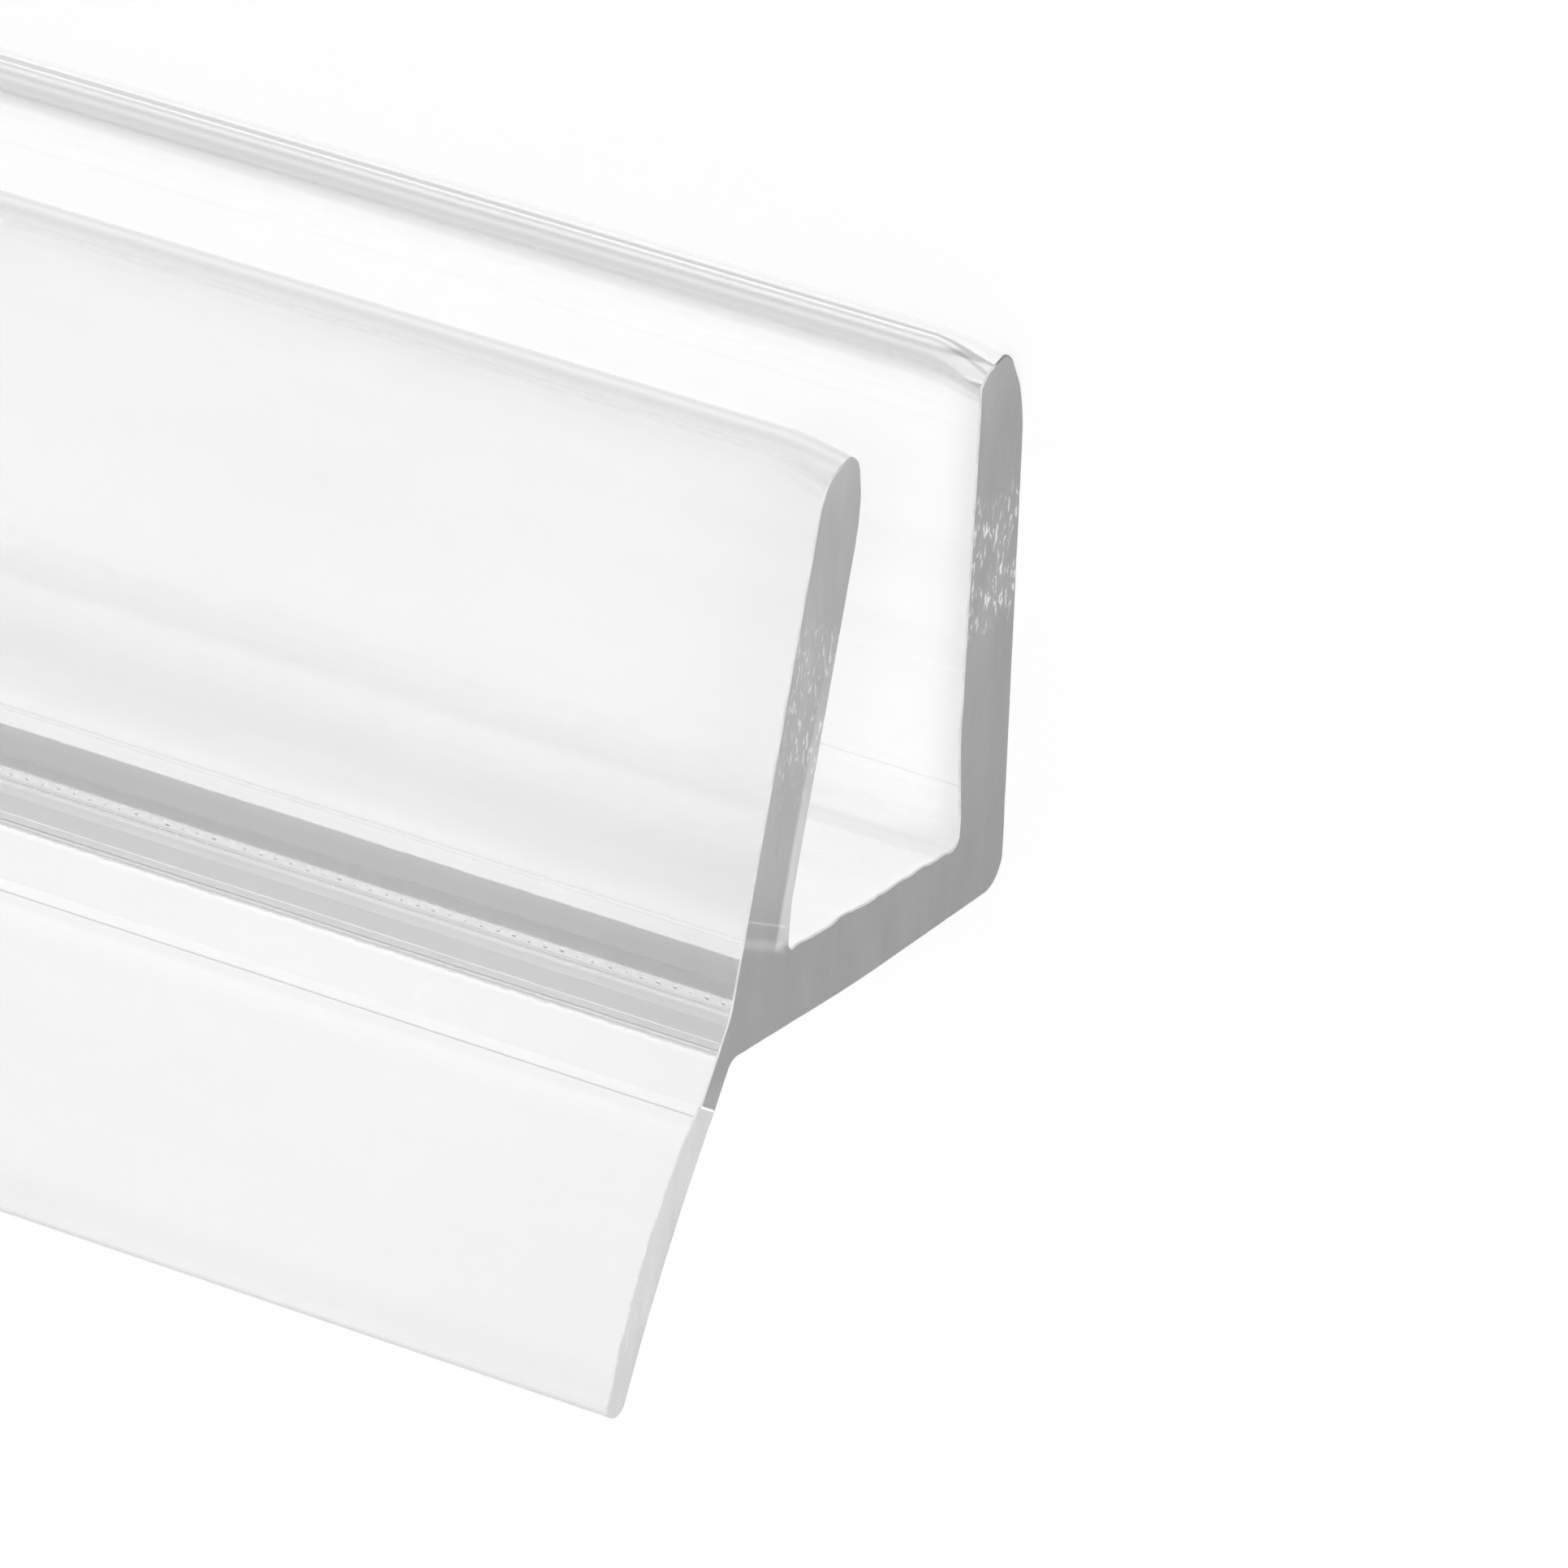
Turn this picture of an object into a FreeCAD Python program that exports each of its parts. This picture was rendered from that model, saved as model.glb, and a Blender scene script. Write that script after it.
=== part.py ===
"""Clear bottom seal strip for a shower door: a U channel that is pushed on to the glass, with a soft drip fin.

Millimetres, +Z up. The strip lies on the outer face of its far leg, along X, and the slot for the glass opens
towards -Y. The section is drawn upright first: u runs across the channel from the near leg to the far leg, v runs
up from the floor of the slot, and u = v = 0 is the slot's near floor corner.
"""
import FreeCAD
import Part
import math
import os

# Length of the strip, as the stock is sold
strip_length = 600.0

# Slot for the glass
slot_floor_width = 8.34

# Near leg, which leans in over the slot to grip the glass
near_wall = 2.17
near_lean_deg = 11.0
near_leg_height = 13.4
near_root_height = 1.35

# Far leg, which tapers slightly and stands nearly square to the floor
far_wall_at_crease = 2.49
far_inner_lean_deg = 2.4
far_outer_lean_deg = 3.95
far_leg_height = 13.85
far_root_height = 0.7
far_crease_height = 3.0
far_crease_offset = 0.34

# Bullet tip of each leg: a small round on one side, and a slant that runs into the wall on the other
tip_nose_radius = 0.65
tip_side_radius = 0.5
tip_slant_deg = 21.0
tip_slant_height = 1.95
tip_shoulder_radius = 6.0

# Base between the legs: flat under the near half, rising a little towards the far corner
base_thickness = 2.18
base_rise = 0.35
base_crown_offset = 3.5
base_crown_radius = 60.0
far_corner_radius = 0.9

# Rounds inside the slot
near_floor_radius = 0.25
far_floor_radius = 0.35
root_bend_radius = 3.0

# Thin stub of hard plastic that carries the fin
stub_thickness = 0.8
stub_lean_deg = 28.4
stub_bend_depth = 0.9
stub_drop = 1.2
stub_outer_bend_radius = 2.0
stub_fillet_radius = 0.45

# Soft fin, welded to the end of the stub along its whole width
fin_length = 8.15
fin_lean_deg = 26.0
fin_mid_thickness = 1.2
fin_tip_thickness = 0.88
fin_bow = 0.33
fin_root_ledge = 0.1


def sloped(lean_deg):
    """Unit vector that points up the section, tilted by lean_deg towards +u."""
    lean = math.radians(lean_deg)
    return FreeCAD.Vector(math.sin(lean), math.cos(lean), 0)


def crossing(point_a, direction_a, point_b, direction_b):
    """Point where two lines of the section cross."""
    turn = direction_a.x * direction_b.y - direction_a.y * direction_b.x
    gap = point_b - point_a
    along_a = (gap.x * direction_b.y - gap.y * direction_b.x) / turn
    return point_a + direction_a * along_a


def at_height(point, direction, height):
    """Point of a line at the height v."""
    return point + direction * ((height - point.y) / direction.y)


def rounded_edges(corners):
    """Edges of an open outline whose inner corners are rounded: corners holds (point, radius)."""
    edges = []
    start = corners[0][0]
    for index in range(1, len(corners) - 1):
        corner, radius = corners[index]
        back = corners[index - 1][0] - corner
        ahead = corners[index + 1][0] - corner
        room = 0.49 * min(back.Length, ahead.Length)
        half_turn = 0.5 * (math.pi - back.getAngle(ahead))
        cut = min(radius * math.tan(half_turn), room)
        true_radius = cut / math.tan(half_turn)
        back.normalize()
        ahead.normalize()
        arc_start = corner + back * cut
        arc_end = corner + ahead * cut
        bisector = (back + ahead).normalize()
        reach = true_radius * (1 / math.cos(half_turn) - 1)
        edges.append(Part.LineSegment(start, arc_start).toShape())
        edges.append(Part.Arc(arc_start, corner + bisector * reach, arc_end).toShape())
        start = arc_end
    edges.append(Part.LineSegment(start, corners[-1][0]).toShape())
    return edges


def leg_tip(left_point, left_direction, right_point, right_direction, right_lean_deg, height):
    """Corners of a leg's bullet tip, from its left face over the top to its right face."""
    left_corner = at_height(left_point, left_direction, height)
    shoulder = at_height(right_point, right_direction, height - tip_slant_height)
    slant = sloped(right_lean_deg - tip_slant_deg)
    nose = at_height(shoulder, slant, height)
    return [(left_corner, tip_side_radius), (nose, tip_nose_radius), (shoulder, tip_shoulder_radius)]


# Lines of the section
origin = FreeCAD.Vector(0, 0, 0)
underside = -base_thickness
level = FreeCAD.Vector(1, 0, 0)
near_direction = sloped(near_lean_deg)
near_outward = FreeCAD.Vector(-near_direction.y, near_direction.x, 0)
near_bend = FreeCAD.Vector(0, near_root_height, 0)
near_outer_point = near_bend + near_outward * near_wall

far_floor_corner = FreeCAD.Vector(slot_floor_width, 0, 0)
far_bend = FreeCAD.Vector(slot_floor_width, far_root_height, 0)
far_crease = FreeCAD.Vector(slot_floor_width - far_crease_offset, far_crease_height, 0)
far_inner_direction = sloped(-far_inner_lean_deg)
far_outer_direction = sloped(-far_outer_lean_deg)
far_outer_point = far_crease + level * far_wall_at_crease
far_corner = at_height(far_outer_point, far_outer_direction, underside + base_rise)
base_crown = FreeCAD.Vector(base_crown_offset, underside, 0)

# The stub's outer face runs on from the near leg's, and its inner face is one stub thickness away
stub_direction = sloped(stub_lean_deg)
across_stub = FreeCAD.Vector(stub_direction.y, -stub_direction.x, 0)
stub_outer_bend = at_height(near_outer_point, near_direction, -stub_bend_depth)
stub_inner_root = crossing(
    stub_outer_bend + across_stub * stub_thickness, stub_direction, base_crown, level
)
weld_inner = stub_inner_root - stub_direction * (stub_drop / stub_direction.y)
weld_outer = weld_inner - across_stub * stub_thickness

channel_corners = (
    [(weld_outer, 0), (stub_outer_bend, stub_outer_bend_radius)]
    + leg_tip(
        near_outer_point, near_direction, near_bend, near_direction, near_lean_deg, near_leg_height
    )
    + [(near_bend, root_bend_radius), (origin, near_floor_radius), (far_floor_corner, far_floor_radius)]
    + [(far_bend, root_bend_radius), (far_crease, root_bend_radius)]
    + leg_tip(
        far_crease, far_inner_direction, far_outer_point, far_outer_direction,
        -far_outer_lean_deg, far_leg_height
    )
    + [(far_corner, far_corner_radius), (base_crown, base_crown_radius)]
    + [(stub_inner_root, stub_fillet_radius), (weld_inner, 0)]
)
channel_edges = rounded_edges(channel_corners)
channel_edges.append(Part.LineSegment(weld_inner, weld_outer).toShape())

# Fin: two bowed faces from the weld to a round tip
fin_direction = sloped(fin_lean_deg) * -1
across_fin = FreeCAD.Vector(fin_direction.y, -fin_direction.x, 0)
fin_root_outer = weld_outer - across_stub * fin_root_ledge
fin_root_centre = (fin_root_outer + weld_inner) * 0.5
tip_radius = 0.5 * fin_tip_thickness
fin_tip_centre = fin_root_centre + fin_direction * (fin_length - tip_radius)
fin_middle = (fin_root_centre + fin_tip_centre) * 0.5
fin_outer_middle = fin_middle + across_fin * (fin_bow + 0.5 * fin_mid_thickness)
fin_inner_middle = fin_middle + across_fin * (fin_bow - 0.5 * fin_mid_thickness)
fin_tip_outer = fin_tip_centre + across_fin * tip_radius
fin_tip_inner = fin_tip_centre - across_fin * tip_radius
fin_edges = [
    Part.LineSegment(weld_inner, fin_root_outer).toShape(),
    Part.Arc(fin_root_outer, fin_outer_middle, fin_tip_outer).toShape(),
    Part.Arc(fin_tip_outer, fin_tip_centre + fin_direction * tip_radius, fin_tip_inner).toShape(),
    Part.Arc(fin_tip_inner, fin_inner_middle, weld_inner).toShape(),
]


def extruded(edges):
    """Solid of one section along X, turned so that the far leg's outer face lies flat."""
    face = Part.Face(Part.Wire(edges))
    solid = face.extrude(FreeCAD.Vector(0, 0, strip_length))
    # The section's u axis becomes -Z, its v axis -Y, and the extrusion runs along -X
    solid.transformShape(FreeCAD.Matrix(0, 0, -1, 0, 0, -1, 0, 0, -1, 0, 0, 0, 0, 0, 0, 1))
    solid.rotate(FreeCAD.Vector(0, 0, 0), FreeCAD.Vector(1, 0, 0), far_outer_lean_deg)
    return solid


solids = {"u_channel": extruded(channel_edges), "drip_fin": extruded(fin_edges)}

# Origin under the middle of the whole strip, on the surface that it lies on
extent = Part.makeCompound(list(solids.values())).optimalBoundingBox(False, False)
seat = FreeCAD.Vector(-extent.Center.x, -extent.Center.y, -extent.ZMin)
os.makedirs("parts", exist_ok=True)
for node, solid in solids.items():
    solid.translate(seat)
    solid.exportStep(f"parts/{node}.step")
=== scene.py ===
import bpy
import math
import numpy as np
from mathutils import Matrix, Vector


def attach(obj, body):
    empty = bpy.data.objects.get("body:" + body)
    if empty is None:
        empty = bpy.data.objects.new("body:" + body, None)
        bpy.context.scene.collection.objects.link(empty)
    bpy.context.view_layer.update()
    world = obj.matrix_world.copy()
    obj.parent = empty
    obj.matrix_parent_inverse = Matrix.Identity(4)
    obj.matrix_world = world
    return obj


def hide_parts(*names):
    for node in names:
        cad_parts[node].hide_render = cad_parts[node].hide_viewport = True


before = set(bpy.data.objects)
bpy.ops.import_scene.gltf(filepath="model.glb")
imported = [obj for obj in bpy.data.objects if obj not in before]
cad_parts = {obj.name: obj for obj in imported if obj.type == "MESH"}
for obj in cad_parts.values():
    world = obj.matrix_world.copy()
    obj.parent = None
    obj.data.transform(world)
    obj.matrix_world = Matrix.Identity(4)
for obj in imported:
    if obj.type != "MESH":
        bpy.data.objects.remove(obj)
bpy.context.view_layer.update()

MM = 0.001

# Sizes of the strip in millimetres, as the construction has them
STRIP_LENGTH = 600.0
SLOT_FLOOR_WIDTH = 8.34
NEAR_WALL = 2.17
NEAR_LEAN = 11.0
NEAR_LEG_HEIGHT = 13.4
NEAR_ROOT_HEIGHT = 1.35
FAR_WALL_AT_CREASE = 2.49
FAR_INNER_LEAN = 2.4
FAR_OUTER_LEAN = 3.95
FAR_LEG_HEIGHT = 13.85
FAR_ROOT_HEIGHT = 0.7
FAR_CREASE_HEIGHT = 3.0
FAR_CREASE_OFFSET = 0.34
TIP_NOSE_RADIUS = 0.65
TIP_SIDE_RADIUS = 0.5
TIP_SLANT = 21.0
TIP_SLANT_HEIGHT = 1.95
TIP_SHOULDER_RADIUS = 6.0
BASE_THICKNESS = 2.18
BASE_RISE = 0.35
BASE_CROWN_OFFSET = 3.5
BASE_CROWN_RADIUS = 60.0
FAR_CORNER_RADIUS = 0.9
NEAR_FLOOR_RADIUS = 0.25
FAR_FLOOR_RADIUS = 0.35
ROOT_BEND_RADIUS = 3.0
STUB_THICKNESS = 0.8
STUB_LEAN = 28.4
STUB_BEND_DEPTH = 0.9
STUB_DROP = 1.2
STUB_OUTER_BEND_RADIUS = 2.0
STUB_FILLET_RADIUS = 0.45
FIN_LENGTH = 8.15
FIN_LEAN = 26.0
FIN_MID_THICKNESS = 1.2
FIN_TIP_THICKNESS = 0.88
FIN_BOW = 0.33
FIN_ROOT_LEDGE = 0.1

# Saw cut at both ends: its edge round, how far it pressed the leg tips down, and its ragged burr
EDGE_ROUND = 0.04
TIP_CRUSH = 0.28
TIP_CRUSH_REACH = 1.7
TIP_CRUSH_DEPTH = 1.6
SHOULDER_SLUMP = 0.31
SHOULDER_SLUMP_REACH = 1.3
SHOULDER_WIDTH = 1.0
BURR_HEIGHT = 0.07
NICK_DEPTH = 0.014
BURR_REACH = 0.4
CRUSH_POWER = 1.15
SLUMP_POWER = 1.5
CUT_SEEDS = (3, 8)

# Where the slot's floor lies, by the distance round the channel's section from the weld
SLOT_FLOOR_ZONE = (31.9, 39.4)

# Legs at a cut: from u, to u, height, u of the nose
LEGS_AT_CUT = ((-3, 4, NEAR_LEG_HEIGHT, 1.15), (5, 12, FAR_LEG_HEIGHT, 8.65))

# How fine the surfaces are: spacing of points round a section, points of an arc, rings at a cut, and the places
# of the stations beyond the crushed tips
OUTLINE_SPACING = 0.16
CORNER_STEPS = 25
FIN_FACE_STEPS = 61
FIN_TIP_STEPS = 33
EDGE_ROUND_RINGS = 6
CRUSH_RINGS = 24
PLAIN_STATIONS = (4, 8, 16, 32, 64, 120, 200, STRIP_LENGTH / 2)

# Roller marks on the near face along the strip, tinted dark as their painted shade. Each row has its distance
# round the section from the weld, its shift along the strip, and a mark's half length, half width and height
MARK_PITCH = 0.48
MARK_ROWS = ((2.64, 0.0, 0.07, 0.028, 0.012), (2.47, 0.14, 0.035, 0.018, 0.008))
# Glint rows: white domes beside the roller marks, their painted highlights
GLINT_ROWS = ((2.705, -0.03, 0.08, 0.022, 0.012),)
MARK_SIDES = 8
MARK_RING_RISES = (-30.0, 20.0, 55.0)
MARK_MARGIN = 0.3
MARK_SEED = 11

# Material slots of a strip
SIDE, CUT, WELD, RIM = range(4)


def sloped(lean):
    """Unit vector that points up the section, tilted by lean degrees towards +u."""
    return np.array([math.sin(math.radians(lean)), math.cos(math.radians(lean))])


def crossing(point_a, direction_a, point_b, direction_b):
    """Point where two lines of the section cross, from the two by two system of their directions."""
    along = np.linalg.solve(np.column_stack([direction_a, -direction_b]), point_b - point_a)
    return point_a + direction_a * along[0]


def at_height(point, direction, height):
    """Point of a line at the height v."""
    return point + direction * ((height - point[1]) / direction[1])


def arc_through(start, middle, end, steps):
    """Points of the circle arc through three points, evenly turned about its centre."""
    centre = crossing(
        (start + middle) / 2, turned(middle - start), (middle + end) / 2, turned(end - middle)
    )
    radius = np.linalg.norm(start - centre)
    angles = np.unwrap([math.atan2(*(point - centre)[::-1]) for point in (start, middle, end)])
    sweep = np.linspace(angles[0], angles[2], steps)
    return centre + radius * np.column_stack([np.cos(sweep), np.sin(sweep)])


def turned(direction):
    """The direction turned a quarter to the left."""
    return np.array([-direction[1], direction[0]])


def rounded_outline(corners, steps):
    """Open outline with its inner corners rounded: each arc is tangent to both sides of its corner."""
    parts = [corners[0][0][None]]
    for (before, _), (corner, radius), (after, _) in zip(corners, corners[1:], corners[2:]):
        back, ahead = before - corner, after - corner
        room = 0.49 * min(np.linalg.norm(back), np.linalg.norm(ahead))
        back, ahead = back / np.linalg.norm(back), ahead / np.linalg.norm(ahead)
        half_turn = 0.5 * (math.pi - math.acos(back @ ahead))
        cut = min(radius * math.tan(half_turn), room)
        true_radius = cut / math.tan(half_turn)
        bisector = (back + ahead) / np.linalg.norm(back + ahead)
        reach = true_radius * (1 / math.cos(half_turn) - 1)
        arc = arc_through(corner + back * cut, corner + bisector * reach, corner + ahead * cut, steps)
        parts.append(arc)
    parts.append(corners[-1][0][None])
    return np.vstack(parts)


def leg_tip(left_point, left_direction, right_point, right_direction, right_lean, height):
    """Corners of a leg's bullet tip, from its left face over the top to its right face."""
    left_corner = at_height(left_point, left_direction, height)
    shoulder = at_height(right_point, right_direction, height - TIP_SLANT_HEIGHT)
    nose = at_height(shoulder, sloped(right_lean - TIP_SLANT), height)
    return [(left_corner, TIP_SIDE_RADIUS), (nose, TIP_NOSE_RADIUS), (shoulder, TIP_SHOULDER_RADIUS)]


def section_outlines():
    """Outlines of the channel and the fin in the upright section, u across and v up, both clockwise."""
    level = np.array([1.0, 0.0])
    near_direction = sloped(NEAR_LEAN)
    near_bend = np.array([0.0, NEAR_ROOT_HEIGHT])
    near_outer = near_bend + turned(near_direction) * NEAR_WALL
    far_floor = np.array([SLOT_FLOOR_WIDTH, 0.0])
    far_bend = np.array([SLOT_FLOOR_WIDTH, FAR_ROOT_HEIGHT])
    far_crease = np.array([SLOT_FLOOR_WIDTH - FAR_CREASE_OFFSET, FAR_CREASE_HEIGHT])
    far_inner_direction, far_outer_direction = sloped(-FAR_INNER_LEAN), sloped(-FAR_OUTER_LEAN)
    far_outer = far_crease + level * FAR_WALL_AT_CREASE
    far_corner = at_height(far_outer, far_outer_direction, BASE_RISE - BASE_THICKNESS)
    base_crown = np.array([BASE_CROWN_OFFSET, -BASE_THICKNESS])

    stub_direction = sloped(STUB_LEAN)
    across_stub = -turned(stub_direction)
    stub_bend = at_height(near_outer, near_direction, -STUB_BEND_DEPTH)
    stub_root = crossing(stub_bend + across_stub * STUB_THICKNESS, stub_direction, base_crown, level)
    weld_inner = stub_root - stub_direction * (STUB_DROP / stub_direction[1])
    weld_outer = weld_inner - across_stub * STUB_THICKNESS

    near_tip = leg_tip(near_outer, near_direction, near_bend, near_direction, NEAR_LEAN, NEAR_LEG_HEIGHT)
    far_tip = leg_tip(
        far_crease, far_inner_direction, far_outer, far_outer_direction, -FAR_OUTER_LEAN, FAR_LEG_HEIGHT
    )
    channel = rounded_outline(
        [(weld_outer, 0), (stub_bend, STUB_OUTER_BEND_RADIUS)]
        + near_tip
        + [(near_bend, ROOT_BEND_RADIUS), (np.zeros(2), NEAR_FLOOR_RADIUS), (far_floor, FAR_FLOOR_RADIUS)]
        + [(far_bend, ROOT_BEND_RADIUS), (far_crease, ROOT_BEND_RADIUS)]
        + far_tip
        + [(far_corner, FAR_CORNER_RADIUS), (base_crown, BASE_CROWN_RADIUS)]
        + [(stub_root, STUB_FILLET_RADIUS), (weld_inner, 0)],
        CORNER_STEPS,
    )

    fin_direction = -sloped(FIN_LEAN)
    across_fin = -turned(fin_direction)
    root_outer = weld_outer - across_stub * FIN_ROOT_LEDGE
    root_centre = (root_outer + weld_inner) / 2
    tip_radius = FIN_TIP_THICKNESS / 2
    tip_centre = root_centre + fin_direction * (FIN_LENGTH - tip_radius)
    middle = (root_centre + tip_centre) / 2
    outer_middle = middle + across_fin * (FIN_BOW + FIN_MID_THICKNESS / 2)
    inner_middle = middle + across_fin * (FIN_BOW - FIN_MID_THICKNESS / 2)
    tip_outer = tip_centre + across_fin * tip_radius
    tip_inner = tip_centre - across_fin * tip_radius
    outer_face = arc_through(tip_outer, outer_middle, root_outer, FIN_FACE_STEPS)
    inner_face = arc_through(weld_inner, inner_middle, tip_inner, FIN_FACE_STEPS)
    round_tip = arc_through(tip_inner, tip_centre + fin_direction * tip_radius, tip_outer, FIN_TIP_STEPS)
    fin = np.vstack([inner_face, round_tip[1:-1], outer_face, weld_outer[None]])
    return channel, fin


def lying(points):
    """Section points turned so that the far leg's outer face is level: u becomes -Z, and v becomes -Y."""
    lean = math.radians(FAR_OUTER_LEAN)
    y, z = -points[:, 1], -points[:, 0]
    cosine, sine = math.cos(lean), math.sin(lean)
    return np.column_stack([y * cosine - z * sine, y * sine + z * cosine])


channel_section, fin_section = section_outlines()
lying_both = lying(np.vstack([channel_section, fin_section]))
SEAT = -np.array([(lying_both[:, 0].min() + lying_both[:, 0].max()) / 2, lying_both[:, 1].min()])


def end_stations():
    """Distances from a cut end at which the section is repeated: close together first, wide apart later."""
    near_end = EDGE_ROUND * (1 - np.cos(np.linspace(0, math.pi / 2, EDGE_ROUND_RINGS)))
    crushed = np.geomspace(2 * EDGE_ROUND, TIP_CRUSH_REACH, CRUSH_RINGS)
    return np.concatenate([near_end, crushed, PLAIN_STATIONS])


def lengths_round(section):
    """Distance of each point of an open outline from its first point, along the outline."""
    return np.concatenate([[0], np.cumsum(np.linalg.norm(np.diff(section, axis=0), axis=1))])


def densified(section, spacing):
    """Open outline with points added on its straight runs, a spacing apart, and its own points kept."""
    own = lengths_round(section)
    added = np.arange(spacing, own[-1], spacing)
    gap = np.abs(added[:, None] - own[None]).min(axis=1)
    places = np.sort(np.concatenate([own, added[gap > spacing / 3]]))
    return np.column_stack([np.interp(places, own, section[:, 0]), np.interp(places, own, section[:, 1])])


def sawn_edge(places, burr_zone, seed):
    """Ragged offset of a cut edge, a seeded noise smoothed over its neighbours: outward as burr in the burr's
    zone, and inward as nicks elsewhere."""
    rough = np.random.default_rng(seed).normal(size=len(places))
    rough = np.convolve(rough, [0.15, 0.25, 0.4, 0.25, 0.15], mode="same")
    in_zone = (places > burr_zone[0]) & (places < burr_zone[1])
    burr = BURR_HEIGHT * np.clip(rough + 0.3, 0, 1.2) * in_zone
    nicks = NICK_DEPTH * np.clip(rough - 0.2, 0, 1) * ~in_zone
    return nicks - burr


def ring_quads(rings, sides):
    """Quads between closed rings of points, as ring and side numbers and as the four corners of each."""
    i, j = np.meshgrid(np.arange(rings - 1), np.arange(sides), indexing="ij")
    after = (j + 1) % sides
    corners = [i * sides + j, i * sides + after, (i + 1) * sides + after, (i + 1) * sides + j]
    return i, j, np.stack(corners, axis=-1).reshape(-1, 4)


def carried_strip(name, section, tips, burr_zone, materials):
    """Strip made by carrying a section along X: point (i, j) is section point j at station i.

    Within the edge round of a cut end, each point moves in against the outline's normal by
    r - sqrt(r^2 - (r - s)^2), where s is the distance from the end, and the ragged offset is added times
    (1 - s / burr reach)^2. The leg tips sink by the crush times (1 - s / reach) to the crush power, and times
    a smooth step of the height below the tip. Their left shoulders also sink by the slump times
    (1 - s / slump reach) to the slump power, times the same step, and times a share that grows from 0 at the
    nose to 1 a shoulder width beside it.
    """
    section = densified(section, OUTLINE_SPACING)
    places = lengths_round(section)
    distance = end_stations()
    stations = np.concatenate([distance[:-1] - STRIP_LENGTH / 2, STRIP_LENGTH / 2 - distance[::-1]])
    from_end = STRIP_LENGTH / 2 - np.abs(stations)

    following = np.roll(section, -1, axis=0) - section
    preceding = section - np.roll(section, 1, axis=0)
    following /= np.linalg.norm(following, axis=1)[:, None]
    preceding /= np.linalg.norm(preceding, axis=1)[:, None]
    tangent = following + preceding
    tangent /= np.linalg.norm(tangent, axis=1)[:, None]
    inward = np.column_stack([tangent[:, 1], -tangent[:, 0]])

    inside = np.clip(EDGE_ROUND - from_end, 0, EDGE_ROUND)
    inset = (EDGE_ROUND - np.sqrt(EDGE_ROUND**2 - inside**2))[:, None]
    near_cut, far_cut = [sawn_edge(places, burr_zone, seed)[None] for seed in CUT_SEEDS]
    ragged = np.where(stations[:, None] < 0, near_cut, far_cut)
    inset = inset + ragged * (np.clip(1 - from_end / BURR_REACH, 0, 1) ** 2)[:, None]
    crush = TIP_CRUSH * np.clip(1 - from_end / TIP_CRUSH_REACH, 0, 1) ** CRUSH_POWER
    slump = SHOULDER_SLUMP * np.clip(1 - from_end / SHOULDER_SLUMP_REACH, 0, 1) ** SLUMP_POWER
    near_tip = np.zeros(len(section))
    shoulder = np.zeros(len(section))
    for low_u, high_u, height, nose_u in tips:
        rise = np.clip((section[:, 1] - height + TIP_CRUSH_DEPTH) / TIP_CRUSH_DEPTH, 0, 1)
        on_leg = (section[:, 0] > low_u) & (section[:, 0] < high_u)
        step = on_leg * rise * rise * (3 - 2 * rise)
        near_tip += step
        shoulder += step * np.clip((nose_u - section[:, 0]) / SHOULDER_WIDTH, 0, 1)

    grid = section[None] + inset[:, :, None] * inward[None]
    grid[:, :, 1] -= crush[:, None] * near_tip[None] + slump[:, None] * shoulder[None]
    count, around = grid.shape[:2]
    flat = lying(grid.reshape(-1, 2)) + SEAT
    vertices = np.column_stack([np.repeat(stations, around), flat]) * MM

    i, j, quads = ring_quads(count, around)
    first_cap = np.arange(around)[::-1]
    last_cap = (count - 1) * around + np.arange(around)
    faces = quads.tolist() + [first_cap.tolist(), last_cap.tolist()]

    mesh = bpy.data.meshes.new(name)
    mesh.from_pydata(vertices.tolist(), [], faces)
    for material in materials:
        mesh.materials.append(material)
    slots = np.full(len(faces), SIDE, np.int32)
    by_station = slots[:-2].reshape(count - 1, around)
    by_station[from_end[1:] < EDGE_ROUND * 1.01] = RIM
    by_station[from_end[:-1] < EDGE_ROUND * 0.99] = RIM
    by_station[:, -1] = WELD
    slots[-2:] = CUT
    mesh.polygons.foreach_set("material_index", slots)

    closed = np.append(places, places[-1] + 1)
    u = np.stack([closed[j], closed[j + 1], closed[j + 1], closed[j]], axis=-1)
    x = np.stack([stations[i], stations[i], stations[i + 1], stations[i + 1]], axis=-1)
    side_uv = np.stack([u, x], axis=-1).reshape(-1, 2)
    cap_uv = np.vstack([section[first_cap], section])
    layer = mesh.uv_layers.new(name="strip")
    layer.data.foreach_set("uv", np.vstack([side_uv, cap_uv]).astype(np.float32).ravel())
    return shown_piece(name, mesh)


def shown_piece(name, mesh):
    """Object of a finished mesh, smooth but sharp at its corners."""
    mesh.update()
    mesh.shade_smooth()
    mesh.set_sharp_from_angle(angle=math.radians(25))
    piece = bpy.data.objects.new(name, mesh)
    bpy.context.scene.collection.objects.link(piece)
    return piece


def dome_faces(rings, sides):
    """Quads between the rings of one dome, and the triangles to its top and bottom points."""
    quads = ring_quads(rings, sides)[2]
    ring = np.arange(sides)
    following = (ring + 1) % sides
    last_ring = (rings - 1) * sides
    top = np.stack([last_ring + ring, last_ring + following, np.full(sides, rings * sides)], axis=-1)
    bottom = np.stack([following, ring, np.full(sides, rings * sides + 1)], axis=-1)
    return quads, np.vstack([top, bottom])


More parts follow.
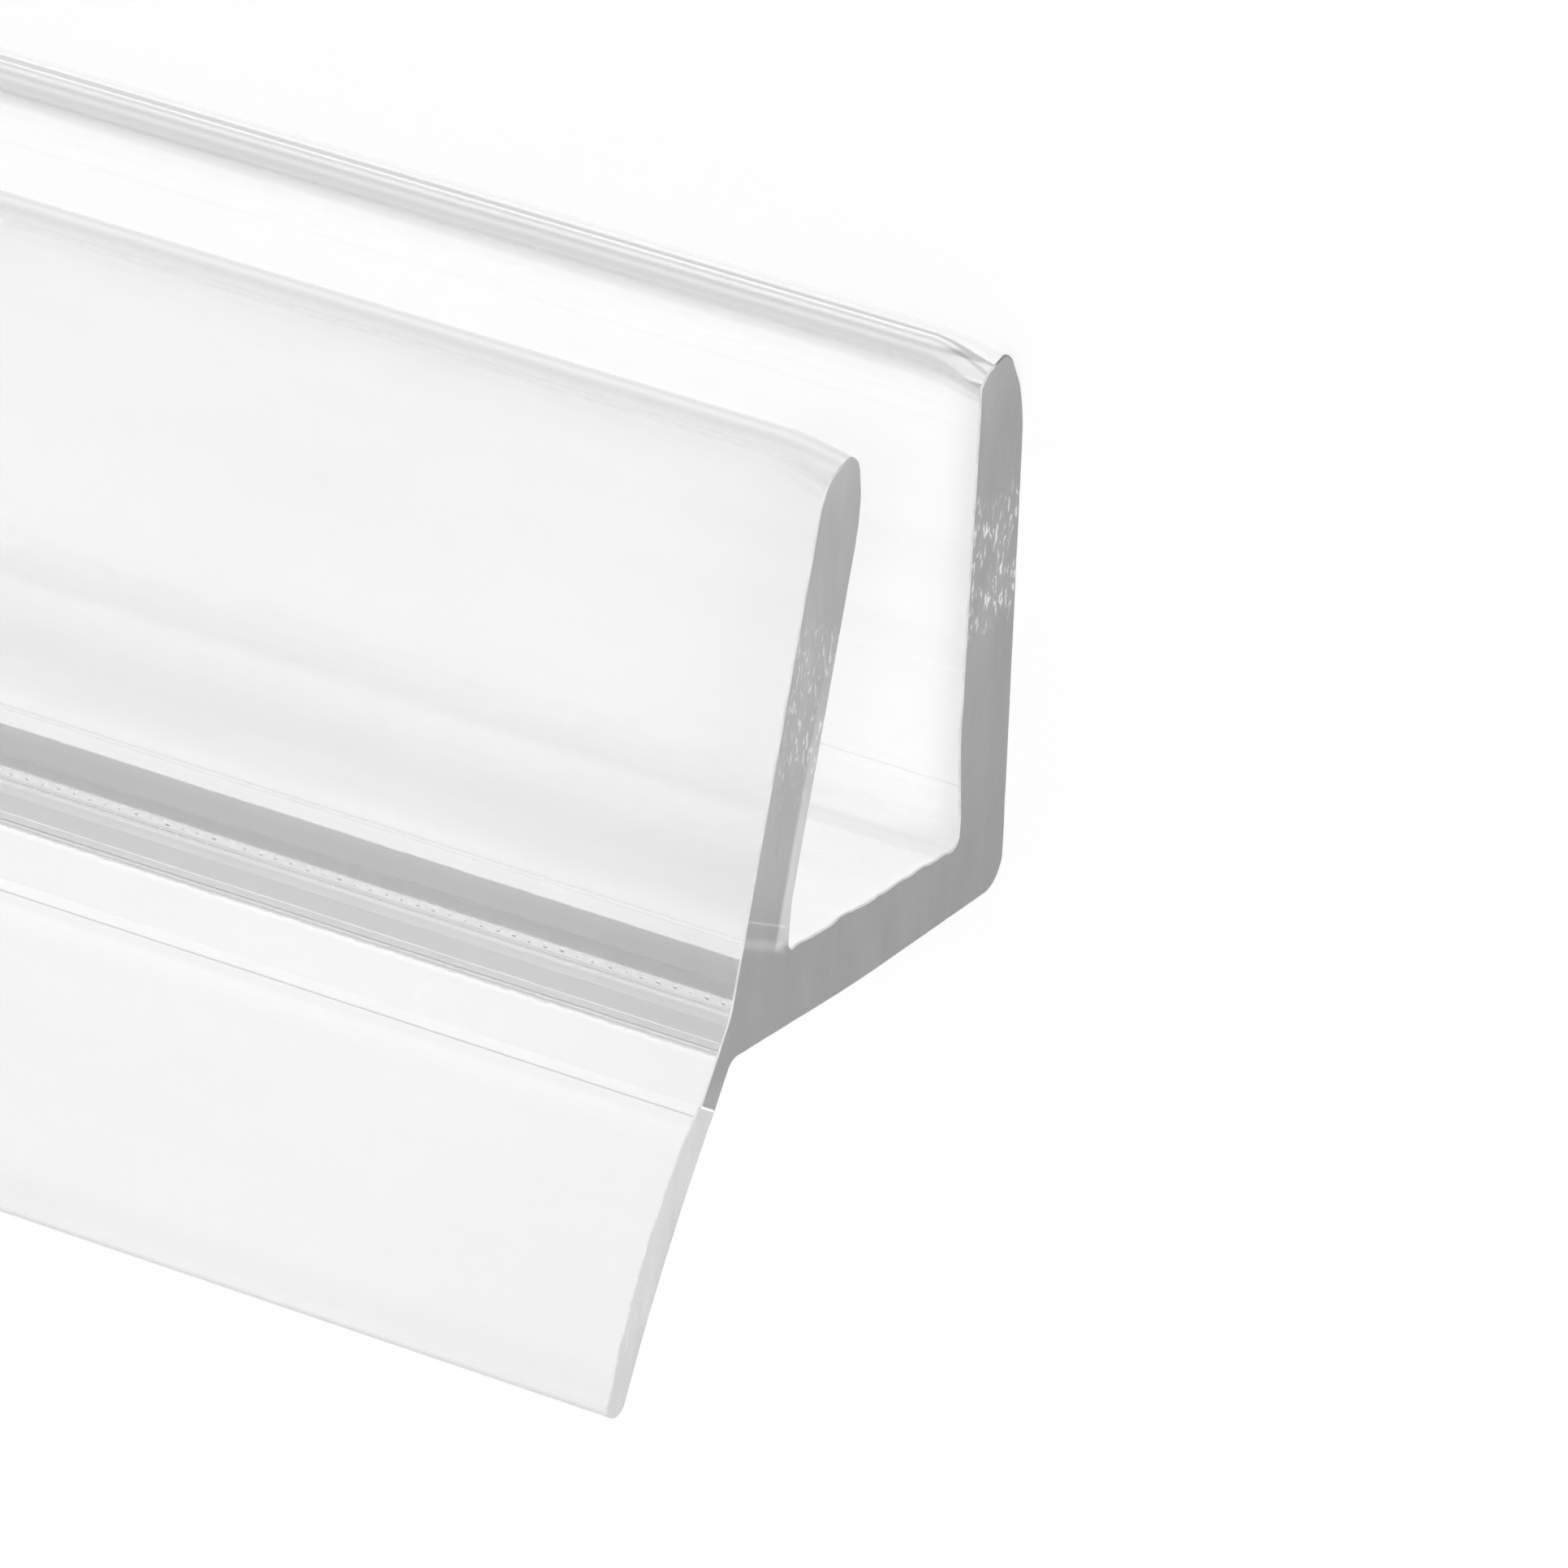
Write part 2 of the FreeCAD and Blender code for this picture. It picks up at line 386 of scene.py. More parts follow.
def pressed_marks(name, section, rows, material):
    """Small low domes on the near face, one pitch apart along X: ring k of a dome is the ellipse of its half
    length and half width times cos(a), raised by its height times sin(a), where a is the ring's rise."""
    places = lengths_round(section)
    angles = np.linspace(0, 2 * math.pi, MARK_SIDES + 1)[:-1]
    rises = np.radians(MARK_RING_RISES)
    quads, triangles = dome_faces(len(rises), MARK_SIDES)
    points_each = len(rises) * MARK_SIDES + 2
    reach = STRIP_LENGTH / 2 - MARK_MARGIN
    vertices, faces = [], []
    start = 0
    for row, (place, shift, half_length, half_width, height) in enumerate(rows):
        point = np.array([np.interp(place, places, section[:, k]) for k in (0, 1)])
        ahead = np.array([np.interp(place + 0.02, places, section[:, k]) for k in (0, 1)])
        along = (ahead - point) / np.linalg.norm(ahead - point)
        outward = turned(along)
        wander = np.random.default_rng(row + MARK_SEED)
        centres = np.arange(-reach + shift, reach, MARK_PITCH)
        centres = centres + wander.uniform(-0.03, 0.03, len(centres))
        size = wander.uniform(0.55, 1.2, len(centres))
        slip = wander.uniform(-0.02, 0.02, len(centres))
        across = half_width * np.outer(np.cos(rises), np.sin(angles)).ravel()
        lengthways = half_length * np.outer(np.cos(rises), np.cos(angles)).ravel()
        up = height * np.repeat(np.sin(rises), len(angles))
        across, lengthways = np.append(across, [0, 0]), np.append(lengthways, [0, 0])
        up = np.append(up, [height, -height / 2])
        x = centres[:, None] + size[:, None] * lengthways[None]
        flat = (
            point
            + (slip[:, None] + size[:, None] * across[None])[:, :, None] * along
            + (size[:, None] * up[None])[:, :, None] * outward
        )
        placed_marks = lying(flat.reshape(-1, 2)) + SEAT
        vertices.append(np.column_stack([x.ravel(), placed_marks]) * MM)
        first = start + points_each * np.arange(len(centres))
        faces += (quads[None] + first[:, None, None]).reshape(-1, 4).tolist()
        faces += (triangles[None] + first[:, None, None]).reshape(-1, 3).tolist()
        start += points_each * len(centres)
    mesh = bpy.data.meshes.new(name)
    mesh.from_pydata(np.vstack(vertices).tolist(), [], faces)
    mesh.materials.append(material)
    return shown_piece(name, mesh)


def feed(tree, socket, value):
    """Sets a socket to a value, or links it when the value is another node's output."""
    if isinstance(value, bpy.types.NodeSocket):
        tree.links.new(value, socket)
    else:
        socket.default_value = value


def calculated(tree, operation, *values):
    """Math node on values or sockets."""
    node = tree.nodes.new("ShaderNodeMath")
    node.operation = operation
    for socket, value in zip(node.inputs, values):
        feed(tree, socket, value)
    return node.outputs[0]


def smooth_step(tree, value, low, high, at_low=0.0, at_high=1.0):
    """Smooth step from one value to another, where the input goes from low to high."""
    node = tree.nodes.new("ShaderNodeMapRange")
    node.interpolation_type = "SMOOTHSTEP"
    for socket, number in zip(node.inputs, (value, low, high, at_low, at_high)):
        feed(tree, socket, number)
    return node.outputs[0]


def between(tree, value, low, high, border):
    """1 where a value is between low and high, with soft borders."""
    up = smooth_step(tree, value, low - border / 2, low + border / 2)
    down = smooth_step(tree, value, high - border / 2, high + border / 2)
    return calculated(tree, "SUBTRACT", up, down)


def split(tree, vector):
    """First and second part of a vector."""
    node = tree.nodes.new("ShaderNodeSeparateXYZ")
    tree.links.new(vector, node.inputs[0])
    return node.outputs[0], node.outputs[1]


def noise(tree, vector, scale, detail, stretch=(1, 1, 1), offset=(0, 0, 0), distortion=0.0):
    """Flat noise of a vector's first two parts, stretched and moved first."""
    mapping = tree.nodes.new("ShaderNodeMapping")
    tree.links.new(vector, mapping.inputs["Vector"])
    mapping.inputs["Scale"].default_value = stretch
    mapping.inputs["Location"].default_value = offset
    texture = tree.nodes.new("ShaderNodeTexNoise")
    texture.noise_dimensions = "2D"
    texture.inputs["Scale"].default_value = scale
    texture.inputs["Detail"].default_value = detail
    texture.inputs["Distortion"].default_value = distortion
    tree.links.new(mapping.outputs[0], texture.inputs["Vector"])
    return texture.outputs[0]


def shader_group(name, inputs, outputs):
    """New node group: its tree, and what comes in and goes out."""
    tree = bpy.data.node_groups.new(name, "ShaderNodeTree")
    for socket_name, kind in inputs:
        tree.interface.new_socket(socket_name, in_out="INPUT", socket_type=kind)
    for socket_name, kind in outputs:
        tree.interface.new_socket(socket_name, in_out="OUTPUT", socket_type=kind)
    return tree, tree.nodes.new("NodeGroupInput").outputs, tree.nodes.new("NodeGroupOutput").inputs


def placed(tree, group, **values):
    """A node group put into a tree with its own values."""
    node = tree.nodes.new("ShaderNodeGroup")
    node.node_tree = group
    for name, value in values.items():
        feed(tree, node.inputs[name], value)
    return node.outputs


NUMBER, VECTOR = "NodeSocketFloat", "NodeSocketVector"


def tone_band_group():
    """One band of painted shade along the strip: (1 - depth)^2 between from and to, 1 outside, with soft
    borders.
    """
    names = ("Place", "From", "To", "Border", "Depth")
    tree, given, out = shader_group("painted_shade_band", [(name, NUMBER) for name in names], [("Tone", NUMBER)])
    half = calculated(tree, "MULTIPLY", given["Border"], 0.5)
    steps = []
    for edge in ("From", "To"):
        low = calculated(tree, "SUBTRACT", given[edge], half)
        high = calculated(tree, "ADD", given[edge], half)
        steps.append(smooth_step(tree, given["Place"], low, high))
    mask = calculated(tree, "SUBTRACT", steps[0], steps[1])
    seen = calculated(tree, "SUBTRACT", 1.0, calculated(tree, "MULTIPLY", given["Depth"], mask))
    feed(tree, out["Tone"], calculated(tree, "MULTIPLY", seen, seen))
    return tree


def strip_wander_group():
    """Place across the strip with a slow wander along it, small tears of a band's border, and a value that
    falls smoothly from 1 at a cut to 0 where the crushed tips end."""
    tree, given, out = shader_group(
        "strip_wander",
        [("Place", VECTOR), ("Wander", NUMBER)],
        [("Around", NUMBER), ("Tears", NUMBER), ("Sunk", NUMBER)],
    )
    around, along = split(tree, given["Place"])
    drift = calculated(tree, "SUBTRACT", noise(tree, given["Place"], 0.35, 1, (0, 1, 1)), 0.5)
    feed(tree, out["Around"], calculated(tree, "MULTIPLY_ADD", drift, given["Wander"], around))
    tears = noise(tree, given["Place"], 2.4, 2, (0.6, 1, 1))
    feed(tree, out["Tears"], calculated(tree, "SUBTRACT", tears, 0.5))
    from_end = calculated(tree, "SUBTRACT", STRIP_LENGTH / 2, calculated(tree, "ABSOLUTE", along))
    feed(tree, out["Sunk"], smooth_step(tree, from_end, 0.0, TIP_CRUSH_REACH, 1.0, 0.0))
    return tree


def drawn_plastic_group():
    """Marks of drawing the strip through its die: fine streaks along it and faint cloudy patches."""
    tree, given, out = shader_group(
        "drawn_plastic", [("Place", VECTOR), ("Amount", NUMBER)], [("Tone", NUMBER), ("Height", NUMBER)]
    )
    streaks = noise(tree, given["Place"], 2.2, 3, (1, 0.012, 1))
    patches = noise(tree, given["Place"], 0.16, 3, (1, 0.55, 1), (3, 7, 0))
    patches = smooth_step(tree, patches, 0.45, 0.62)
    both = calculated(tree, "ADD", calculated(tree, "MULTIPLY", streaks, 0.8), patches)
    darker = calculated(tree, "MULTIPLY", both, given["Amount"])
    feed(tree, out["Tone"], calculated(tree, "SUBTRACT", 1.0, darker))
    feed(tree, out["Height"], streaks)
    return tree


def sawn_plastic_group():
    """Marks of the saw on a cut end: streaks up the section, fine grain, and bright torn flecks by Torn."""
    tree, given, out = shader_group(
        "sawn_plastic",
        [("Section", VECTOR), ("Torn", NUMBER)],
        [("Tone", NUMBER), ("Light", NUMBER), ("Height", NUMBER)],
    )
    streaks = noise(tree, given["Section"], 4.5, 4, (1, 0.12, 1))
    grain = noise(tree, given["Section"], 16, 3)
    patches = noise(tree, given["Section"], 0.6, 3, (1.6, 0.5, 1))
    torn = noise(tree, given["Section"], 3.4, 3, (2.4, 0.7, 1), (4, 1, 0), 0.6)
    clusters = smooth_step(tree, noise(tree, given["Section"], 1.1, 2, (1, 0.8, 1), (2, 5, 0)), 0.36, 0.55)
    torn = calculated(tree, "MULTIPLY", smooth_step(tree, torn, 0.585, 0.63), given["Torn"])
    torn = calculated(tree, "MULTIPLY", torn, clusters)
    tone = calculated(tree, "MULTIPLY_ADD", streaks, 0.08, 0.82)
    tone = calculated(tree, "MULTIPLY_ADD", grain, 0.06, tone)
    tone = calculated(tree, "MULTIPLY_ADD", patches, 0.22, tone)
    smudges = calculated(tree, "MULTIPLY", calculated(tree, "MULTIPLY", clusters, given["Torn"]), 0.1)
    feed(tree, out["Tone"], calculated(tree, "ADD", tone, smudges))
    feed(tree, out["Light"], torn)
    height = calculated(tree, "MULTIPLY_ADD", torn, 1.5, calculated(tree, "ADD", streaks, grain))
    feed(tree, out["Height"], height)
    return tree


painted_shade_band = tone_band_group()
strip_wander = strip_wander_group()
drawn_plastic = drawn_plastic_group()
sawn_plastic = sawn_plastic_group()


# Relief of the drawn and sawn faces in metres, and the share of a shadow ray's light that each face of clear
# plastic lets through
STREAK_RELIEF = 0.0000008
SAWN_RELIEF = 0.00001
SHADOW_TONE = 0.88


def new_material(name):
    """Empty node material and its tree."""
    material = bpy.data.materials.new(name)
    material.use_nodes = True
    material.node_tree.nodes.clear()
    return material, material.node_tree


def strip_place(tree):
    """The piece's own map in mm: distance round the section and along the strip, or u and v on a cut."""
    node = tree.nodes.new("ShaderNodeUVMap")
    node.uv_map = "strip"
    return node.outputs[0]


def bumped(tree, height, distance):
    """Normal of a height in the given distance, in metres."""
    node = tree.nodes.new("ShaderNodeBump")
    node.inputs["Strength"].default_value = 1
    node.inputs["Distance"].default_value = distance
    tree.links.new(height, node.inputs["Height"])
    return node.outputs[0]


def clear_plastic(name, tone, painted_shade_bands, rubbed, wander, roughness, ior, amount):
    """Refractive plastic that lets light through to the floor. Its bands along the strip are painted shade,
    darker tints for the refraction and shade seen through the walls. It is rubbed in its zones, the bands'
    borders wander, and amount is how strongly it shows that it was drawn."""
    material, tree = new_material(name)
    place = strip_place(tree)
    wandering = placed(tree, strip_wander, Place=place, Wander=wander)
    around = wandering["Around"]
    marks = placed(tree, drawn_plastic, Place=place, Amount=amount)
    shade = calculated(tree, "MULTIPLY", marks["Tone"], tone)
    # Each band multiplies in painted shade: a darker tint for refraction and shade seen through the plastic
    for start, end, border, depth, ragged, drop in painted_shade_bands:
        at = calculated(tree, "MULTIPLY_ADD", wandering["Tears"], ragged, around) if ragged else around
        at = calculated(tree, "MULTIPLY_ADD", wandering["Sunk"], drop, at) if drop else at
        band = placed(tree, painted_shade_band, Place=at, From=start, To=end, Border=border, Depth=depth)
        shade = calculated(tree, "MULTIPLY", shade, band["Tone"])

    body = tree.nodes.new("ShaderNodeBsdfPrincipled")
    body.inputs["IOR"].default_value = ior
    body.inputs["Transmission Weight"].default_value = 1
    gloss = calculated(tree, "MULTIPLY_ADD", marks["Height"], 0.02, roughness)
    for start, end, border, rise in rubbed:
        band = between(tree, around, start, end, border)
        gloss = calculated(tree, "MULTIPLY_ADD", band, rise, gloss)
    feed(tree, body.inputs["Base Color"], shade)
    feed(tree, body.inputs["Roughness"], gloss)
    feed(tree, body.inputs["Normal"], bumped(tree, marks["Height"], STREAK_RELIEF))
    passing = tree.nodes.new("ShaderNodeBsdfTransparent")
    passing.inputs["Color"].default_value = (SHADOW_TONE, SHADOW_TONE, SHADOW_TONE, 1)
    path = tree.nodes.new("ShaderNodeLightPath")
    mix = tree.nodes.new("ShaderNodeMixShader")
    out = tree.nodes.new("ShaderNodeOutputMaterial")
    tree.links.new(path.outputs["Is Shadow Ray"], mix.inputs[0])
    tree.links.new(body.outputs[0], mix.inputs[1])
    tree.links.new(passing.outputs[0], mix.inputs[2])
    tree.links.new(mix.outputs[0], out.inputs[0])
    return material


def sawn_end(name, tone, details):
    """Cut face: a milky tone with the saw's marks; details adds what one plastic's face has of its own."""
    material, tree = new_material(name)
    section = strip_place(tree)
    u, v = split(tree, section)
    shade, torn = details(tree, u, v, tone)
    marks = placed(tree, sawn_plastic, Section=section, Torn=torn)
    shade = calculated(tree, "MULTIPLY", shade, marks["Tone"])
    shade = calculated(tree, "MULTIPLY_ADD", marks["Light"], 0.55, shade)
    body = tree.nodes.new("ShaderNodeBsdfPrincipled")
    out = tree.nodes.new("ShaderNodeOutputMaterial")
    feed(tree, body.inputs["Base Color"], shade)
    feed(tree, body.inputs["Roughness"], calculated(tree, "MULTIPLY_ADD", marks["Light"], -0.2, 0.5))
    feed(tree, body.inputs["Normal"], bumped(tree, marks["Height"], SAWN_RELIEF))
    tree.links.new(body.outputs[0], out.inputs[0])
    return material


def channel_end_details(tree, u, v, tone):
    """Lighter legs, a painted pale strip of light inside the near leg, and a painted bright line and pale foot
    of light at its root.
    """
    on_near = smooth_step(tree, u, 3.0, 4.5, 1, 0)
    on_far = calculated(tree, "SUBTRACT", 1.0, on_near)
    up_leg = smooth_step(tree, v, -0.5, 3.0)
    shade = calculated(tree, "MULTIPLY_ADD", up_leg, 0.03, tone)
    shade = calculated(tree, "MULTIPLY_ADD", calculated(tree, "MULTIPLY", up_leg, on_near), 0.075, shade)
    shade = calculated(tree, "MULTIPLY_ADD", smooth_step(tree, v, 11.5, 13.8), 0.05, shade)
    stub = smooth_step(tree, v, -2.3, -3.0)
    shade = calculated(tree, "MULTIPLY_ADD", stub, 0.06, shade)

    # Painted light: a pale strip inside the near leg where light comes through its inner face
    lean = math.tan(math.radians(NEAR_LEAN))
    inner_face = calculated(tree, "MULTIPLY_ADD", v, lean, -NEAR_ROOT_HEIGHT * lean)
    depth = calculated(tree, "SUBTRACT", inner_face, u)
    strip = smooth_step(tree, depth, 0.58, 0.34)
    strip = calculated(tree, "MULTIPLY", strip, smooth_step(tree, v, 9.0, 2.5))
    strip = calculated(tree, "MULTIPLY", strip, smooth_step(tree, v, 0.1, 0.4))
    strip = calculated(tree, "MULTIPLY", strip, on_near)
    shade = calculated(tree, "MULTIPLY_ADD", strip, 0.28, shade)

    # Painted light at the near leg's root: a pale foot and a bright line
    root = calculated(tree, "MULTIPLY_ADD", u, 0.4, v)
    beside_slot = smooth_step(tree, u, -0.05, -0.3)
    painted_light_foot = calculated(tree, "MULTIPLY", between(tree, root, -0.08, 0.2, 0.2), beside_slot)
    shade = calculated(tree, "MULTIPLY_ADD", painted_light_foot, 0.12, shade)
    painted_bright_line = calculated(tree, "MULTIPLY", between(tree, root, 0.64, 0.7, 0.06), beside_slot)
    shade = calculated(tree, "MULTIPLY_ADD", painted_bright_line, 0.16, shade)

    torn_far = calculated(tree, "MULTIPLY", between(tree, v, 6.2, 9.5, 2.2), on_far)
    torn_near = calculated(tree, "MULTIPLY", between(tree, v, 4.5, 9.0, 2.0), on_near)
    torn = calculated(tree, "MULTIPLY_ADD", torn_near, 0.5, torn_far)
    return shade, torn


def fin_end_details(tree, u, v, tone):
    """A shade darker towards the tip, with a few torn flecks near it."""
    shade = calculated(tree, "MULTIPLY_ADD", smooth_step(tree, v, -4.0, -10.0), -0.03, tone)
    return shade, calculated(tree, "MULTIPLY", between(tree, v, -8.6, -7.4, 0.6), 0.3)


def rim_face(name, tone):
    """Thin white rim round a cut, a painted highlight along its edge, a little less white in places, with
    painted shade over the leg tips.
    """
    material, tree = new_material(name)
    place = strip_place(tree)
    around, along = split(tree, place)
    # The rim's white is a painted highlight of the cut's edge, varied a little by noise
    torn = smooth_step(tree, noise(tree, place, 1.3, 3, (1, 0, 0)), 0.35, 0.65, tone * 0.85, tone)
    # Painted shade on the rim over the near and far leg tips
    for start, end, depth in ((17.3, 18.4, 0.3), (54.1, 55.2, 0.7)):
        painted_tip_shade = calculated(tree, "MULTIPLY_ADD", between(tree, around, start, end, 0.3), -depth, 1.0)
        torn = calculated(tree, "MULTIPLY", torn, painted_tip_shade)
    body = tree.nodes.new("ShaderNodeBsdfPrincipled")
    out = tree.nodes.new("ShaderNodeOutputMaterial")
    body.inputs["Roughness"].default_value = 0.35
    feed(tree, body.inputs["Base Color"], torn)
    tree.links.new(body.outputs[0], out.inputs[0])
    return material


def weld_face(name):
    """Fused face between the two plastics, which bends no light."""
    material, tree = new_material(name)
    passing = tree.nodes.new("ShaderNodeBsdfTransparent")
    out = tree.nodes.new("ShaderNodeOutputMaterial")
    tree.links.new(passing.outputs[0], out.inputs[0])
    return material


# Bands of painted shade along the strip by the distance round its section from the weld, in mm: darker tints
# that stand in for the base, the slot's floor and corners, the far tips and the fin's edge as the clear walls
# refract and shade them. Each has from, to, soft border, depth, raggedness, and how far it sinks with the
# crushed tip at a cut
HARD_PAINTED_SHADE = [
    (-0.5, 1.2, 0.14, 0.065, 0.08, 0.0),
    (1.3, 1.405, 0.04, 0.2, 0.08, 0.0),
    (1.33, 1.405, 0.03, 0.1, 0.0, 0.0),
    (1.435, 1.645, 0.025, 0.355, 0.0, 0.0),
    (1.662, 3.87, 0.025, 0.19, 0.0, 0.0),
    (1.662, 2.12, 0.03, 0.26, 0.0, 0.0),
    (2.12, 2.36, 0.1, 0.19, 0.0, 0.0),
    (2.5, 2.79, 0.1, 0.045, 0.0, 0.0),
    (2.8, 3.87, 0.07, 0.365, 0.03, 0.0),
    (3.05, 3.65, 0.3, 0.06, 0.0, 0.0),
    (3.87, 4.3, 0.04, 0.14, 0.0, 0.0),
    (5.0, 6.8, 1.7, 0.1, 0.0, 0.0),
    (16.3, 17.2, 0.3, 0.03, 0.0, 0.2),
    (39.6, 53.6, 0.4, 0.012, 0.0, 0.0),
    (41.55, 41.58, 0.02, 0.16, 0.0, 0.0),
    (52.65, 53.35, 0.2, 0.1, 0.0, 0.12),
    (52.95, 53.35, 0.12, 0.1, 0.0, 0.12),
    (53.69, 53.79, 0.05, 0.25, 0.02, 0.0),
]
SOFT_PAINTED_SHADE = [
    (7.0, 15.9, 0.9, 0.035, 0.0, 0.0),
    (8.12, 8.75, 0.15, 0.12, 0.0, 0.0),
    (16.3, 16.6, 0.25, 0.04, 0.0, 0.0),
    (16.58, 16.62, 0.03, 0.3, 0.0, 0.0),
]
# Rubbed and milky zones by the same distance: from, to, soft border, added roughness
HARD_RUBBED = [
    (3.9, 15.8, 0.6, 0.11),
    (15.8, 20.2, 0.8, 0.15),
    (20.2, 31.0, 0.8, 0.08),
    (31.3, 32.1, 0.3, 0.11),
    (38.9, 40.5, 0.4, 0.3),
    (52.9, 56.5, 0.6, 0.09),
]

hard_clear = clear_plastic(
    "hard_clear_pvc", 0.955, HARD_PAINTED_SHADE, HARD_RUBBED, wander=0.025, roughness=0.02, ior=1.53, amount=0.012
)
soft_clear = clear_plastic(
    "soft_clear_pvc", 0.93, SOFT_PAINTED_SHADE, [], wander=0.015, roughness=0.04, ior=1.5, amount=0.012
)
sawn_rim = rim_face("sawn_rim", 0.8)
hard_cut = sawn_end("hard_sawn_end", 0.352, channel_end_details)
soft_cut = sawn_end("soft_sawn_end", 0.765, fin_end_details)
# The roller marks' dark tone is painted shade of the small raised marks
pressed = clear_plastic("pressed_mark", 0.5, [], [], wander=0.0, roughness=0.05, ior=1.53, amount=0.02)
# White glint domes beside the roller marks: painted highlights
glint = rim_face("glinting_mark", 0.97)
weld = weld_face("weld_face")

hard_faces = [hard_clear, hard_cut, weld, sawn_rim]
soft_faces = [soft_clear, soft_cut, weld, sawn_rim]
hard_channel = carried_strip("hard_channel", channel_section, LEGS_AT_CUT, SLOT_FLOOR_ZONE, hard_faces)
soft_fin = carried_strip("soft_fin", fin_section, [], (0, 0), soft_faces)
roller_marks = pressed_marks("roller_marks", channel_section, MARK_ROWS, pressed)
roller_glints = pressed_marks("roller_glints", channel_section, GLINT_ROWS, glint)
clothed = (
    (hard_channel, "hard_clear_pvc"),
    (soft_fin, "soft_clear_pvc"),
    (roller_marks, "hard_clear_pvc"),
    (roller_glints, "hard_clear_pvc"),
)
for piece, slot in clothed:
    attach(piece, "root")
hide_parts("u_channel")
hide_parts("drip_fin")


def background_rays(tree):
    """1 for the camera's own rays, and 1 for gloss and glass rays that no matt surface has scattered."""
    path = tree.nodes.new("ShaderNodeLightPath")
    glossy, through = path.outputs["Is Glossy Ray"], path.outputs["Is Transmission Ray"]
    mirrored = calculated(tree, "MAXIMUM", glossy, through)
    unscattered = calculated(tree, "LESS_THAN", path.outputs["Diffuse Depth"], 0.5)
    mirrored = calculated(tree, "MULTIPLY", mirrored, unscattered)
    return path.outputs["Is Camera Ray"], mirrored


# Studio: the floor lies just under the strip. It shows its own white for a share of the backdrop's rays, and
# light and shadow for the rest
FLOOR_LEVEL = -0.00005
FLOOR_HALF_WIDTH = 20.0
FLOOR_TONE = 0.8
FLOOR_WHITE = 1.09
FLOOR_WHITE_SHARE = 0.75
SOFT_LIGHT = 0.55
CEILING_TONE = 0.85
KEY_PLACE = (-1.0, -0.8, 1.9)
KEY_STRENGTH = 1.5
KEY_SPREAD = 20.0

# Camera in the strip's millimetres: where it stands, what it aims at, its turn about that line, and its lens
CAMERA_PLACE = np.array([-467.338, -171.352, 293.398])
CAMERA_AIM = np.array([-298.399, -1.704, 8.525])
CAMERA_ROLL = 125.247
CAMERA_LENS = 338.0
SENSOR_WIDTH = 36


def staged_floor():
    """Pale floor, a flat square under the strip."""
    mesh = bpy.data.meshes.new("floor")
    half = FLOOR_HALF_WIDTH
    corners = [(x, y, FLOOR_LEVEL) for x, y in ((-half, -half), (half, -half), (half, half), (-half, half))]
    mesh.from_pydata(corners, [], [(0, 1, 2, 3)])
    floor = bpy.data.objects.new("floor", mesh)
    bpy.context.scene.collection.objects.link(floor)
    material, tree = new_material("pale_floor")
    diffuse = tree.nodes.new("ShaderNodeBsdfDiffuse")
    diffuse.inputs["Color"].default_value = (FLOOR_TONE, FLOOR_TONE, FLOOR_TONE, 1)
    glow = tree.nodes.new("ShaderNodeEmission")
    glow.inputs["Strength"].default_value = FLOOR_WHITE
    direct, mirrored = background_rays(tree)
    mix = tree.nodes.new("ShaderNodeMixShader")
    out = tree.nodes.new("ShaderNodeOutputMaterial")
    backdrop = calculated(tree, "MAXIMUM", direct, mirrored)
    feed(tree, mix.inputs[0], calculated(tree, "MULTIPLY", backdrop, FLOOR_WHITE_SHARE))
    tree.links.new(diffuse.outputs[0], mix.inputs[1])
    tree.links.new(glow.outputs[0], mix.inputs[2])
    tree.links.new(mix.outputs[0], out.inputs[0])
    mesh.materials.append(material)
    return floor


def plain_light(tree, strength):
    """White background light of the given strength."""
    node = tree.nodes.new("ShaderNodeBackground")
    node.inputs["Color"].default_value = (1, 1, 1, 1)
    feed(tree, node.inputs["Strength"], strength)
    return node.outputs[0]


